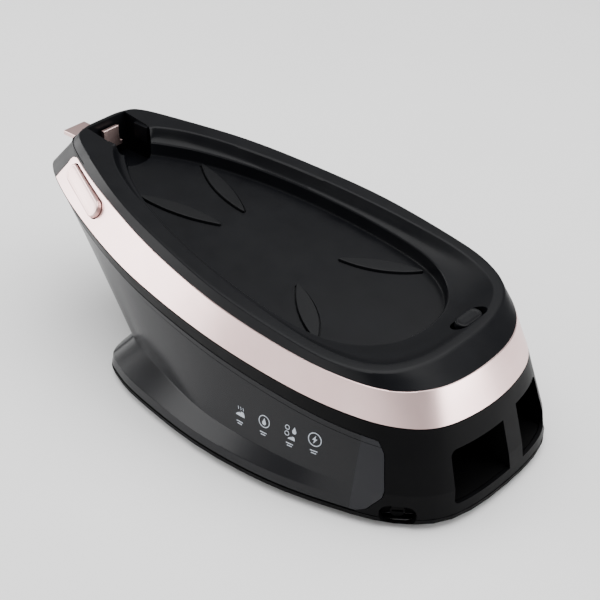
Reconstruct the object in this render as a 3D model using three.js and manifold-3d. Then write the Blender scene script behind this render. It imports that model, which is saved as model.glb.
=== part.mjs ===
// Base station of a steam-generator iron: a boat-shaped body with an iron rest on top.
// Millimetres, +Z up, +X towards the wide rear end, origin under the middle of the body on the ground.
import * as THREE from "three";
import { mergeVertices } from "three/addons/utils/BufferGeometryUtils.js";
import Module from "manifold-3d";

const wasm = await Module();
wasm.setup();

// Driving dimensions
const GAP = 0.3; // between pieces that touch
const WALL = 2.5; // moulded wall
const SPAN_STEPS = 3; // points per control span of an outline
const GROUND_CLEARANCE = 3; // the feet's height below the base pan
const FAR = 400; // reach of a cutting body
const CENTRING = 5; // moves every piece along x, so that the origin is midway from lock tab to tail

// Planes that the outlines lie in: height at x = 0 and slope along x
const PLANE = {
  rim: { z: 115.3, slope: -0.124 },
  bandTop: { z: 107.2, slope: -0.124 },
  bandBottom: { z: 85.7, slope: -0.121 },
  strip: { z: 76, slope: -0.121 },
  crease: { z: 25, slope: 0 },
  foot: { z: 8, slope: 0 },
};

// Half outlines from the middle of the nose round to the middle of the tail
const HALF = {
  rim: [
    [-168, 0], [-167, 17], [-160, 29], [-132, 42], [-87, 59], [-40, 70],
    [20, 79], [77, 79], [113, 73], [137, 58], [149, 32], [152, 0],
  ],
  bandTop: [
    [-173, 0], [-172, 18], [-167, 31], [-138, 45], [-92, 60], [-42, 72.5],
    [20, 81], [77, 80.5], [117, 74], [146, 61], [164, 36], [169, 0],
  ],
  bandBottom: [
    [-186, 0], [-186, 20], [-183, 37], [-147, 56], [-92, 74], [-43, 84],
    [20, 89], [77, 86.5], [119, 79], [152, 65], [172, 42], [179, 0],
  ],
  strip: [
    [-184, 0], [-184, 19], [-180, 35], [-142, 54], [-90, 71.5], [-42, 82],
    [20, 87.5], [77, 86], [120, 79.5], [154, 66.5], [175, 43], [182, 0],
  ],
  crease: [
    [-84, 0], [-84, 20], [-83, 42], [-77, 64], [-60, 71], [-36, 79],
    [20, 92], [77, 92], [122, 85.5], [158, 74], [183, 48], [189, 0],
  ],
  foot: [
    [-93, 0], [-93, 26], [-92, 54], [-85, 78], [-68, 88], [-39, 95.5],
    [20, 102.5], [77, 100], [124, 89.5], [162, 74.5], [186, 48], [192, 0],
  ],
  wellMouth: [
    [-140, 0], [-138, 14], [-134, 22], [-116, 34], [-86, 46], [-40, 58],
    [10, 66], [60, 70], [100, 69], [129, 58], [143, 34], [146, 0],
  ],
  wellLedge: [
    [-136, 0], [-134, 9], [-130, 15], [-104, 31], [-67, 45], [-28, 54],
    [14, 59], [55, 60], [85, 56], [107, 43], [120, 23], [124, 0],
  ],
};

const LIP_HEIGHT = 15; // top of the flared foot
const LEDGE_DEPTH = 8;
const FLOOR_DEPTH = 17;
const POCKET = { front: -165, back: -129, half: 17.5, depth: 28 };
const CORE = { front: -53, back: 115, half: 55.5 };
const BAY = { bottom: 14.5, front: 131 };
const MAINS_BAY = { from: -44.5, to: 4.5, top: 49.5, gland: -22 };
const HOSE_BAY = { from: 19, to: 52, top: 51.5, gland: 35.5 };
const GLAND_HEIGHT = 37;
const BAND_END = [[-155, 126.5], [-171, 105.5]]; // x, z of the band's end line at the nose
const TANK_END = [[138, 8], [146, 12], [154, 22], [154.5, 27], [150, 50], [146, 57]]; // x, z
const BUTTON = {
  at: [-129.2, -54.1, 114.8], along: [0.914, -0.382, -0.138], out: [-0.256, -0.805, 0.536],
  length: 55, width: 13,
};
const LATCH = { x: -127, y: -45.5, tip: 86.2 };
const SLIDER = { end: -202, bottom: 115, top: 118.5, half: 9.8, barTop: 130.5, barHalf: 7 };
const CATCH = { x: 139.5, y: 22, length: 28, width: 11, top: 95.5 };
const FILLER = { x: -110, y: 0, radius: 12.7, dish: 20, level: 80.5 };
const OUTLET_HEIGHT = 19;
const DRAIN = { at: [162.5, -71.5, 10.4], out: [0.62, -0.785, 0], width: 23, height: 13 };
const FOOT_SPOTS = [[-69, -60], [-69, 60], [165, -46.5], [165, 46.5]];
const SCREW_SPOTS = [[-44, -46.5], [-44, 46.5], [106, -46.5], [106, 46.5]];
const BOILER = { x: 15, radius: 38, flange: 43, seam: 34 };
const PUMP = { x: 63, end: 103, y: -28, z: 33 };

// Materials
const plastic = (color, roughness = 0.5) =>
  new THREE.MeshStandardMaterial({ color, roughness, metalness: 0 });
const metal = (color, roughness = 0.35) =>
  new THREE.MeshStandardMaterial({ color, roughness, metalness: 1 });
const MATERIAL = {
  black: plastic(0x1c1d20, 0.45),
  roseGold: metal(0xd9bcb0, 0.3),
  smoked: new THREE.MeshStandardMaterial({
    color: 0x4c4e54, roughness: 0.12, metalness: 0, transparent: true, opacity: 0.6,
  }),
  blackGloss: plastic(0x141518, 0.25),
  roseGoldButton: metal(0xd3b3a6, 0.35),
  silicone: plastic(0x232427, 0.7),
  rubber: plastic(0x202020, 0.85),
  steel: metal(0xb8bcc0),
  aluminium: metal(0xc9ccd0, 0.4),
  brass: metal(0xc4a35a),
  white: plastic(0xe4e4e0),
  copper: metal(0xb87348),
  board: plastic(0x1f6b3a, 0.6),
};

// Solids
function solid(geometry) {
  const bare = geometry.index ? geometry : geometry.clone();
  bare.deleteAttribute("normal");
  bare.deleteAttribute("uv");
  const merged = mergeVertices(bare, 1e-3);
  const made = new wasm.Manifold(
    new wasm.Mesh({
      numProp: 3,
      vertProperties: new Float32Array(merged.attributes.position.array),
      triVerts: new Uint32Array(merged.index.array),
    }),
  );
  return made;
}

function geometryOf(body) {
  const mesh = body.getMesh();
  const geometry = new THREE.BufferGeometry();
  geometry.setAttribute("position", new THREE.BufferAttribute(mesh.vertProperties, 3));
  geometry.setIndex(new THREE.BufferAttribute(mesh.triVerts, 1));
  geometry.computeVertexNormals();
  return geometry;
}

const joined = (...bodies) => bodies.reduce((all, body) => all.add(body));
const moved = (geometry, x, y, z) => geometry.translate(x, y, z);
const placed = (geometry, matrix) => solid(geometry.applyMatrix4(matrix));

// A box from its low and high corners
function block([x0, y0, z0], [x1, y1, z1]) {
  const box = new THREE.BoxGeometry(x1 - x0, y1 - y0, z1 - z0);
  return solid(moved(box, (x0 + x1) / 2, (y0 + y1) / 2, (z0 + z1) / 2));
}

// A cylinder standing on z = bottom
function post(x, y, bottom, top, radius, sides = 24) {
  const body = new THREE.CylinderGeometry(radius, radius, top - bottom, sides).rotateX(Math.PI / 2);
  return solid(moved(body, x, y, (bottom + top) / 2));
}

// A cylinder lying along x
function barrel(x0, x1, y, z, radius, sides = 24) {
  const body = new THREE.CylinderGeometry(radius, radius, x1 - x0, sides).rotateZ(Math.PI / 2);
  return solid(moved(body, (x0 + x1) / 2, y, z));
}

// A body of revolution about a vertical line, from a closed profile of [radius, height]
function turned(x, y, profile, sides = 40) {
  const points = profile.map(([r, z]) => new THREE.Vector2(r, z));
  return solid(moved(new THREE.LatheGeometry(points, sides).rotateX(Math.PI / 2), x, y, 0));
}

// An x-z profile pushed out along y, from low to high
function sideProfile(points, low = -FAR, high = FAR) {
  const shape = new THREE.Shape(points.map(([x, z]) => new THREE.Vector2(x, z)));
  const body = new THREE.ExtrudeGeometry(shape, { depth: high - low, bevelEnabled: false });
  return solid(body.rotateX(Math.PI / 2).translate(0, high, 0));
}

// A y-z profile pushed out along x, from low to high
function endProfile(points, low, high) {
  const shape = new THREE.Shape(points.map(([y, z]) => new THREE.Vector2(y, z)));
  const body = new THREE.ExtrudeGeometry(shape, { depth: high - low, bevelEnabled: false });
  const turn = new THREE.Matrix4().makeBasis(
    new THREE.Vector3(0, 1, 0), new THREE.Vector3(0, 0, 1), new THREE.Vector3(1, 0, 0),
  );
  return solid(body.applyMatrix4(turn).translate(low, 0, 0));
}

// A rounded slot shape, long side along x
function pill(length, width, segments = 8) {
  const reach = (length - width) / 2;
  const shape = new THREE.Shape();
  shape.absarc(reach, 0, width / 2, -Math.PI / 2, Math.PI / 2, false);
  shape.absarc(-reach, 0, width / 2, Math.PI / 2, Math.PI * 1.5, false);
  return { shape, segments };
}

function extruded({ shape, segments }, depth, bevel = 0) {
  return new THREE.ExtrudeGeometry(shape, {
    depth,
    curveSegments: segments,
    bevelEnabled: bevel > 0,
    bevelThickness: bevel,
    bevelSize: bevel,
    bevelOffset: -bevel,
    bevelSegments: 2,
  });
}

// A round tube along a smooth curve
function hose(points, radius, sides = 8, steps = 20) {
  const path = new THREE.CatmullRomCurve3(points.map((p) => new THREE.Vector3(...p)));
  const section = new THREE.Shape().absarc(0, 0, radius, 0, Math.PI * 2, false);
  return new THREE.ExtrudeGeometry(section, {
    steps, curveSegments: sides / 2, bevelEnabled: false, extrudePath: path,
  });
}

// A coil spring along its local z, from z = 0
function coil(radius, length, turns, wire) {
  class Helix extends THREE.Curve {
    getPoint(t, target = new THREE.Vector3()) {
      const turn = t * turns * Math.PI * 2;
      return target.set(radius * Math.cos(turn), radius * Math.sin(turn), wire + t * (length - 2 * wire));
    }
  }
  const section = new THREE.Shape().absarc(0, 0, wire, 0, Math.PI * 2, false);
  return new THREE.ExtrudeGeometry(section, {
    steps: turns * 10, curveSegments: 3, bevelEnabled: false, extrudePath: new Helix(),
  });
}

// A closed smooth curve through a half outline and its mirror image, moved inwards by inset
function outline(half, inset = 0) {
  const nearSide = half.map(([x, y]) => [x, -y]);
  const farSide = half.slice(1, -1).reverse();
  const points = [...nearSide, ...farSide].map(([x, y]) => new THREE.Vector3(x, y, 0));
  const curve = new THREE.CatmullRomCurve3(points, true, "catmullrom", 0.5);
  const ring = curve.getPoints(points.length * SPAN_STEPS).slice(0, -1);
  return ring.map((point, i) => {
    const before = ring[(i + ring.length - 1) % ring.length];
    const after = ring[(i + 1) % ring.length];
    const along = after.clone().sub(before).normalize();
    return new THREE.Vector2(point.x - along.y * inset, point.y + along.x * inset);
  });
}

// A ring of points of a named outline on its own plane or another one, raised by lift
function ringOf(name, { inset = 0, lift = 0, plane = PLANE[name] } = {}) {
  return outline(HALF[name], inset).map(
    (p) => new THREE.Vector3(p.x, p.y, plane.z + plane.slope * p.x + lift),
  );
}

// A closed body through rings of equal count, from the lowest up
function loft(rings) {
  const count = rings[0].length;
  const points = rings.flat();
  const index = [];
  for (let level = 0; level + 1 < rings.length; level++) {
    for (let i = 0; i < count; i++) {
      const a = level * count + i;
      const b = level * count + ((i + 1) % count);
      index.push(a, b, b + count, a, b + count, a + count);
    }
  }
  for (const [level, flip] of [[0, false], [rings.length - 1, true]]) {
    const centre = rings[level].reduce((sum, p) => sum.add(p), new THREE.Vector3());
    points.push(centre.divideScalar(count));
    for (let i = 0; i < count; i++) {
      const a = level * count + i;
      const b = level * count + ((i + 1) % count);
      index.push(points.length - 1, flip ? a : b, flip ? b : a);
    }
  }
  const geometry = new THREE.BufferGeometry().setFromPoints(points);
  geometry.setIndex(index);
  return solid(geometry);
}

// Everything below a sloping plane, lifted by lift
function below({ z, slope }, lift = 0) {
  const edge = (x) => [x, z + slope * x + lift];
  return sideProfile([[-FAR, -FAR], [FAR, -FAR], edge(FAR), edge(-FAR)]);
}

// Local frame on a surface: z out of it, x along the given direction
function frameAt(at, out, along) {
  const z = new THREE.Vector3(...out).normalize();
  const x = new THREE.Vector3(...along);
  x.addScaledVector(z, -x.dot(z)).normalize();
  const y = new THREE.Vector3().crossVectors(z, x);
  return new THREE.Matrix4().makeBasis(x, y, z).setPosition(...at);
}

// Rings of the body from the ground to the strip, for the skin, the tank and what lines them
const bodyRings = (inset, bottom, top) => [
  ringOf("foot", { inset: 0.5 + inset, lift: bottom }),
  ringOf("foot", { inset: 1.5 + inset, plane: { z: LIP_HEIGHT, slope: 0 } }),
  ringOf("crease", { inset }),
  ringOf("strip", { inset, lift: -top }),
];

const WELL_PLANE = PLANE.rim;
const wellRing = (name, inset, lift) => ringOf(name, { inset, lift, plane: WELL_PLANE });
const floorHeight = (x) => WELL_PLANE.z + WELL_PLANE.slope * x - FLOOR_DEPTH;
const TILT = Math.atan(-WELL_PLANE.slope);

const BUTTON_FRAME = frameAt(BUTTON.at, BUTTON.out, BUTTON.along);
const CATCH_FRAME = new THREE.Matrix4().makeRotationY(TILT).setPosition(CATCH.x, CATCH.y, CATCH.top);
const DRAIN_FRAME = frameAt(DRAIN.at, DRAIN.out, [DRAIN.out[1], -DRAIN.out[0], 0]);

// The nose side of the band's end line, moved by shift along x
function noseSide(shift) {
  const [top, bottom] = BAND_END;
  const slope = (top[0] - bottom[0]) / (top[1] - bottom[1]);
  const edge = (z) => [top[0] + (z - top[1]) * slope + shift, z];
  return sideProfile([[-FAR, 0], edge(0), edge(FAR), [-FAR, FAR]]);
}

// Black iron rest: rim, chamfered skirt, well with its sloping wall, pocket and nose front
function topTray() {
  const skirt = loft([
    ringOf("bandTop", { inset: 2.9, lift: -4 }),
    ringOf("bandTop", { inset: 2.9, lift: GAP }),
    ringOf("bandTop", { lift: GAP }),
    ringOf("rim", { lift: -1.5 }),
    ringOf("rim", { inset: 1.5 }),
  ]);
  const skirtHollow = loft([
    ringOf("bandTop", { inset: 5, lift: -6 }),
    ringOf("bandTop", { inset: 5 }),
    ringOf("rim", { inset: 4.5, lift: -WALL }),
  ]);
  const nose = loft([
    ringOf("bandBottom", { inset: GAP, lift: GAP }),
    ringOf("bandTop", { inset: GAP, lift: 2 }),
  ]);
  const noseHollow = loft([
    ringOf("bandBottom", { inset: 3, lift: -2 }),
    ringOf("bandBottom", { inset: 3 }),
    ringOf("bandTop", { inset: 5 }),
    ringOf("rim", { inset: 4.5, lift: -WALL }),
  ]);
  const noseShell = nose.intersect(noseSide(-GAP)).subtract(noseHollow);
  const tub = loft([
    wellRing("wellLedge", 0, -FLOOR_DEPTH - WALL),
    wellRing("wellLedge", -WALL, -LEDGE_DEPTH - 2),
    wellRing("wellMouth", -1.2, -2),
  ]);
  const well = loft([
    wellRing("wellLedge", 1.5, -FLOOR_DEPTH),
    wellRing("wellLedge", 0, -LEDGE_DEPTH),
    wellRing("wellLedge", -2, -LEDGE_DEPTH + 0.4),
    wellRing("wellMouth", 1, -1),
    wellRing("wellMouth", 0, 0),
    wellRing("wellMouth", 0, 5),
  ]);
  const pocketBottom = floorHeight(-150) - (POCKET.depth - FLOOR_DEPTH);
  const pocketTub = pocketShape(WALL, pocketBottom - WALL, FAR).intersect(below(WELL_PLANE, -1));
  const pocket = pocketShape(0, pocketBottom, FAR);
  const lugs = block([-146, -18.5, pocketBottom + 14], [-139, -14.5, 131])
    .add(block([-153, 15, pocketBottom + 14], [-140, 18.5, 132]));
  const { bottom, top, half } = SLIDER;
  const slot = block([-200, -half - 0.4, bottom - 0.4], [-164, half + 0.4, top + 0.4]);
  const catchCup = placed(
    extruded(pill(CATCH.length + 6, CATCH.width + 6), 9).rotateZ(Math.PI / 2).translate(0, 0, -10),
    CATCH_FRAME,
  );
  const catchSeat = placed(
    extruded(pill(CATCH.length + 0.8, CATCH.width + 0.8), 30).rotateZ(Math.PI / 2).translate(0, 0, -8),
    CATCH_FRAME,
  );
  const catchBore = post(CATCH.x, CATCH.y, 70, 100, 4.4, 20);
  return skirt
    .subtract(skirtHollow)
    .add(noseShell)
    .add(tub)
    .add(pocketTub)
    .add(catchCup.intersect(below(WELL_PLANE, -1)))
    .subtract(well)
    .subtract(pocket)
    .add(lugs)
    .subtract(slot)
    .subtract(catchSeat)
    .subtract(catchBore);
}

// The pocket's outline grown by grow, between two heights
function pocketShape(grow, low, high) {
  const { front, back, half } = POCKET;
  const round = 14;
  const shape = new THREE.Shape();
  shape.moveTo(front - grow, -half - grow);
  shape.lineTo(back - round, -half - grow);
  shape.absellipse(back - round, 0, round + grow, half + grow, -Math.PI / 2, Math.PI / 2, false);
  shape.lineTo(front - grow, half + grow);
  return solid(extruded({ shape, segments: 12 }, high - low).translate(0, 0, low));
}

// Four leaf-shaped pads on the floor of the rest
function restPads() {
  const leaf = (from, to, belly) => {
    const length = Math.hypot(to[0] - from[0], to[1] - from[1]);
    const shape = new THREE.Shape();
    shape.moveTo(0, 0);
    shape.quadraticCurveTo(length / 2, -belly, length, 0);
    shape.quadraticCurveTo(length / 2, belly * 0.8, 0, 0);
    const body = extruded({ shape, segments: 10 }, 1.4);
    body.rotateZ(Math.atan2(to[1] - from[1], to[0] - from[0]));
    body.translate(from[0], from[1], GAP);
    body.applyMatrix4(new THREE.Matrix4().makeShear(0, WELL_PLANE.slope, 0, 0, 0, 0));
    return solid(body.translate(0, 0, floorHeight(0)));
  };
  const front = [[-99.5, 29.5], [-42, 11.5]];
  const rear = [[36, 20.5], [80, 52]];
  const mirror = ([x, y]) => [x, -y];
  return [
    leaf(mirror(front[0]), mirror(front[1]), 11),
    leaf(front[0], front[1], 11),
    leaf(mirror(rear[0]), mirror(rear[1]), 11),
    leaf(rear[0], rear[1], 11),
  ];
}

// Rose gold band, cut off at the nose, with the hole for the release button
function trimBand() {
  const outer = loft([ringOf("bandBottom", { lift: GAP }), ringOf("bandTop")]);
  const inner = loft([
    ringOf("bandBottom", { inset: WALL, lift: -1 }),
    ringOf("bandTop", { inset: WALL, lift: 1 }),
  ]);
  const hole = placed(
    extruded(pill(BUTTON.length + 0.8, BUTTON.width + 0.8), 30).translate(0, 0, -15),
    BUTTON_FRAME,
  );
  return outer.subtract(inner).subtract(noseSide(0)).subtract(hole);
}

// Release button: a shallow pill cap on a stem
function releaseButton() {
  const cap = extruded(pill(BUTTON.length, BUTTON.width), 3.2, 0.9).translate(0, 0, -2.9);
  const stem = extruded(pill(18, 6), 6).translate(0, 0, -9);
  return placed(cap, BUTTON_FRAME).add(placed(stem, BUTTON_FRAME));
}

// Latch hook that the button pushes: its head lies against the button's stem, its tip in the tank
function tankLatch() {
  const { x, y, tip } = LATCH;
  const head = placed(new THREE.BoxGeometry(18, 8, 3).translate(2, -1, -10.9), BUTTON_FRAME);
  return head.add(block([x - 3, y - 1.5, tip], [x + 3, y + 1.5, 107.5]));
}

// Spring that brings the button and the hook back
const buttonSpring = () => placed(coil(2.6, 7.6, 4, 0.45).translate(8, -2, -20.3), BUTTON_FRAME);

// Carry lock: a tab outside the nose and a lock bar standing in the pocket
function carryLockSlider() {
  const { end, bottom, top, half, barTop, barHalf } = SLIDER;
  const plate = block([end, -half, bottom], [-160, half, top]);
  return plate.add(block([-163, -barHalf, bottom], [-160, barHalf, barTop]));
}

// Heel catch: an oval cap on a post, and the spring under it
const heelCatch = () => placed(
  extruded(pill(CATCH.length, CATCH.width), 4.4, 1).rotateZ(Math.PI / 2).translate(0, 0, -4.2),
  CATCH_FRAME,
).add(post(CATCH.x, CATCH.y, 83, 92, 4, 20));
const catchSpring = () => placed(
  coil(3, 10.4, 5, 0.45),
  new THREE.Matrix4().setPosition(CATCH.x, CATCH.y, 72.3),
);

// Opening in the rear wall in front of a bay, its two outer corners cut off
function rearWindow({ from, to, top }) {
  const { bottom } = BAY;
  const corners = from < 0
    ? [[to, bottom], [to - 1.5, top], [from + 6, top], [from + 2, top - 5], [from, bottom + 4], [from + 3, bottom]]
    : [[from, bottom], [to - 3, bottom], [to, bottom + 4], [to, top - 6], [to - 5, top], [from - 1, top]];
  return endProfile(from < 0 ? corners.reverse() : corners, 135, 215);
}

// The room that the tank takes up, ahead of the rear body and below the strip
function tankSpace() {
  const edge = TANK_END.map(([x, z]) => [x + 0.6, z]);
  return sideProfile([[-FAR, -1], [edge[0][0], -1], ...edge, [146.6, FAR], [-FAR, FAR]])
    .intersect(below(PLANE.strip));
}

// Black shell: the strip under the band with the deck over the tank, and the body behind it
function outerShell() {
  const outer = loft([
    ...bodyRings(0, GAP, 0),
    ringOf("bandBottom", { inset: 1, lift: -1.5 }),
    ringOf("bandBottom"),
  ]);
  const lower = loft(bodyRings(WALL, -2, 0));
  const upper = loft([
    ringOf("strip", { inset: WALL, lift: 2 }),
    ringOf("bandBottom", { inset: WALL, lift: 2 }),
  ]);
  const fillAccess = post(FILLER.x, FILLER.y, 60, 100, FILLER.dish - 1, 32);
  const latchSlot = block([LATCH.x - 5, LATCH.y - 3, 80], [LATCH.x + 6, LATCH.y + 6, 100]);
  const stop = placed(new THREE.BoxGeometry(8, 9, 2).translate(8, -2, -21.6), BUTTON_FRAME)
    .add(block([-120.5, -43.4, 91.5], [-113.5, -40.4, 98]));
  const seat = post(CATCH.x, CATCH.y, 60, 72, 5, 20);
  const shell = outer.subtract(lower).subtract(upper).subtract(tankSpace());
  const deck = shell.subtract(below(PLANE.strip))
    .subtract(fillAccess)
    .subtract(latchSlot)
    .add(stop)
    .add(seat);
  const rear = shell.intersect(below(PLANE.strip, -GAP))
    .subtract(rearWindow(MAINS_BAY))
    .subtract(rearWindow(HOSE_BAY))
    .subtract(drainRecess());
  return { deck, rear };
}

// Oval recess low on the rear corner, round the drain plug
function drainRecess() {
  return placed(extruded(pill(DRAIN.width, DRAIN.height), 30).translate(0, 0, -7), DRAIN_FRAME);
}

// Bottom pan: its edge shows all round, its middle is raised over the feet and screw heads
function basePan() {
  const bottom = GROUND_CLEARANCE;
  const level = (z) => ({ z, slope: 0 });
  const outer = loft([
    ringOf("foot", { inset: 2.5, plane: level(bottom) }),
    ringOf("foot", { inset: 0.3, plane: level(bottom + 2) }),
    ringOf("foot"),
  ]);
  const hollow = loft([
    ringOf("foot", { inset: 5, plane: level(bottom - 1) }),
    ringOf("foot", { inset: 5, plane: level(5.8) }),
  ]);
  const boss = placed(new THREE.BoxGeometry(26, 14, 10).translate(0, 0.6, -8), DRAIN_FRAME)
    .intersect(loft(bodyRings(WALL + GAP, -1, 0)))
    .subtract(tankSpace().intersect(block([-FAR, -FAR, 8], [FAR, FAR, FAR])));
  const bore = placed(barAlong(3, 40), DRAIN_FRAME);
  const pan = outer.subtract(hollow).add(boss).subtract(drainRecess()).subtract(bore);
  return SCREW_SPOTS.reduce((all, [x, y]) => all.subtract(post(x, y, 0, 20, 2.2, 12)), pan);
}

// A cylinder along the local z of a frame, from z = low up to high
const barAlong = (radius, length, high = length / 2) =>
  new THREE.CylinderGeometry(radius, radius, length, 20).rotateX(Math.PI / 2)
    .translate(0, 0, high - length / 2);

const foot = ([x, y]) => turned(x, y, [[0, 0], [7, 0], [8, 1], [8, 5.5], [0, 5.5]], 24);
const baseScrew = ([x, y]) => turned(x, y, [
  [0, 3.3], [3.4, 3.3], [4, 3.9], [4, 5.5], [1.7, 5.5], [1.7, 16], [0, 16],
], 14);

// Tank: prow and two side arms round the core, moulded as a tub and a lid that is welded on
const SEAM_DROP = 4;
const tankCore = (grow) => block(
  [CORE.front - 2 - grow, -CORE.half - 0.7 - grow, -10],
  [FAR, CORE.half + 0.7 + grow, 150],
);
const tankRear = (shift) => sideProfile([
  [138 - shift, -1], ...TANK_END.map(([x, z]) => [x - shift, z]), [146 - shift, FAR], [FAR, FAR], [FAR, -1],
]);
const tankShell = () => loft(bodyRings(0, GAP, GAP))
  .subtract(tankCore(0))
  .subtract(tankRear(0))
  .subtract(loft(bodyRings(2.4, 2.7, 2.7)).subtract(tankCore(2.4)).subtract(tankRear(2.4)));

// The tub has the outlet low at the back
const waterTank = () => tankShell()
  .intersect(below(PLANE.strip, -SEAM_DROP - GAP))
  .subtract(barrel(-70, -50, 0, OUTLET_HEIGHT, 7, 24));

// The lid has a sunk filler, the groove that the hook runs in and the keeper that it holds
function tankLid() {
  const { x, y, radius, dish, level } = FILLER;
  const roofed = below(PLANE.strip, -1);
  const dishOuter = post(x, y, level - 2.4, 120, dish + 2.4, 36).intersect(roofed);
  const { x: hookX, y: hookY, tip } = LATCH;
  const channel = block([hookX - 6.5, hookY - 5, tip - 4], [-80, hookY + 7, 120]).intersect(roofed);
  const groove = block([hookX - 4.6, hookY - 2.8, tip - 2], [-82, hookY + 5, 120]);
  const keeper = block([hookX + 4.1, hookY - 3, tip - 2.2], [hookX + 8, hookY + 0.2, 90])
    .intersect(below(PLANE.strip, -0.5));
  return tankShell()
    .subtract(below(PLANE.strip, -SEAM_DROP))
    .add(dishOuter)
    .add(channel)
    .subtract(post(x, y, level, 120, dish, 36))
    .subtract(post(x, y, 60, 120, radius, 32))
    .subtract(groove)
    .add(keeper);
}

const fillerCap = () => {
  const { x, y, radius, level } = FILLER;
  return turned(x, y, [
    [0, level - 5], [radius - 0.4, level - 5], [radius - 0.4, level + GAP], [14.5, level + GAP],
    [14.5, level + 2.3], [5, level + 2.3], [4.4, level + 5.4], [0, level + 5.4],
  ], 32);
};

// Rubber duckbill in the tank's outlet, its seal and the fixed spigot that it seats on
const outletValve = () => joined(
  barrel(-63, -55.4, 0, OUTLET_HEIGHT, 6.7, 24),
  block([-67, -4, OUTLET_HEIGHT - 0.8], [-62, 4, OUTLET_HEIGHT + 0.8]),
).subtract(barrel(-61, -50, 0, OUTLET_HEIGHT, 4.2, 20));
const dockSeal = () => barrel(-54.8, -53.4, 0, OUTLET_HEIGHT, 8, 24)
  .subtract(barrel(-60, -50, 0, OUTLET_HEIGHT, 4, 20));
const dockSpigot = () => joined(
  barrel(-58, -44, 0, OUTLET_HEIGHT, 3.6, 20),
  barrel(-50.7, -48, 0, OUTLET_HEIGHT, 8, 24),
).subtract(barrel(-59, -40, 0, OUTLET_HEIGHT, 2.2, 16));

// Frame that carries the works: front wall, side walls and four screw posts
function innerFrame() {
  const { front, back, half } = CORE;
  const walls = block([front, -half, 8.3], [back, half, 90])
    .subtract(block([front + 2, -half + 2, 0], [back + 10, half - 2, 100]))
    .intersect(below(PLANE.strip, -3));
  const bridge = block([front + 1, -half + 1, 8.3], [front + 5, half - 1, 10.8]);
  const posts = SCREW_SPOTS.map(([x, y]) => {
    const wall = Math.sign(y) * (half - 1);
    return post(x, y, 8.3, 19, 5, 18)
      .add(block([x - 2, Math.min(y, wall), 8.3], [x + 2, Math.max(y, wall), 19]));
  });
  const whole = joined(walls, bridge, ...posts).subtract(barrel(-60, -50, 0, OUTLET_HEIGHT, 5.2, 20));
  return SCREW_SPOTS.reduce((all, [x, y]) => all.subtract(post(x, y, 0, 17, 2.1, 12)), whole);
}

// Liner with the two storage bays behind the rear windows
function storageLiner() {
  const { bottom, front } = BAY;
  const body = block([front - 3, MAINS_BAY.from - 2.5, bottom - 2.2], [FAR, HOSE_BAY.to + 2.5, HOSE_BAY.top + 2])
    .intersect(loft(bodyRings(WALL + 0.5, 0, 0)));
  return [MAINS_BAY, HOSE_BAY].reduce(
    (all, { from, to, top, gland: y }) => all
      .subtract(block([front, from, bottom], [FAR, to, top]))
      .subtract(barrel(110, 140, y, GLAND_HEIGHT, 6.4, 20)),
    body,
  );
}

// Inlet gland: a flanged collar through the bay's front wall, bored for its lead
const glandOf = (bay, bore) => joined(
  barrel(120, 133, bay.gland, GLAND_HEIGHT, 6, 20),
  barrel(131.3, 134, bay.gland, GLAND_HEIGHT, 9, 24),
).subtract(barrel(100, 140, bay.gland, GLAND_HEIGHT, bore, 16));

// Pressed boiler halves with flanges, dished ends outwards
function boilerLower() {
  const { x, radius, flange, seam } = BOILER;
  const bowl = turned(x, 0, [
    [0, 16.5], [22, 16.5], [radius - 3, 21], [radius, 27], [radius, seam - 2], [flange, seam - 2],
    [flange, seam], [radius - 2, seam], [radius - 2, 28], [radius - 5, 23], [22, 18.7], [0, 18.7],
  ]);
  return bowl.add(post(x, 0, 12.4, 17.5, 4, 16)).subtract(post(x, 0, 0, 30, 2, 12));
}
function boilerUpper() {
  const { x, radius, flange, seam } = BOILER;
  const base = seam + 1;
  const dome = turned(x, 0, [
    [0, base + 21.8], [22, base + 21.8], [radius - 4.5, base + 17], [radius - 2, base + 12],
    [radius - 2, base], [flange, base], [flange, base + 2], [radius, base + 2], [radius, base + 12],
    [radius - 3, base + 19], [22, base + 24], [0, base + 24],
  ]);
  return dome
    .add(barrel(x + radius - 1.5, x + radius + 6, -8, base + 8, 4, 16))
    .subtract(barrel(x + radius - 8, x + radius + 8, -8, base + 8, 2.2, 12));
}
const boilerGasket = () => turned(BOILER.x, 0, [
  [BOILER.radius - 1, BOILER.seam + GAP], [BOILER.flange - 1, BOILER.seam + GAP],
  [BOILER.flange - 1, BOILER.seam + 0.7], [BOILER.radius - 1, BOILER.seam + 0.7],
  [BOILER.radius - 1, BOILER.seam + GAP],
]);
function heatingElement() {
  const reach = 24;
  const arc = Array.from({ length: 13 }, (_, i) => {
    const turn = Math.PI * (0.15 + (1.7 * i) / 12);
    return [BOILER.x + reach * Math.cos(turn), reach * Math.sin(turn), 26];
  });
  return solid(hose(arc, 3.2, 8, 24));
}
const thermostat = () => joined(
  post(BOILER.x, 0, 59.4, 66, 8, 20),
  block([BOILER.x - 5, -1, 65.5], [BOILER.x - 4.2, 1, 70]),
  block([BOILER.x + 4.2, -1, 65.5], [BOILER.x + 5, 1, 70]),
);
const thermalFuse = () => joined(barrel(0, 20, -47.6, 42, 2.6, 14), barrel(-6, 26, -47.6, 42, 0.8, 8));

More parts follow.
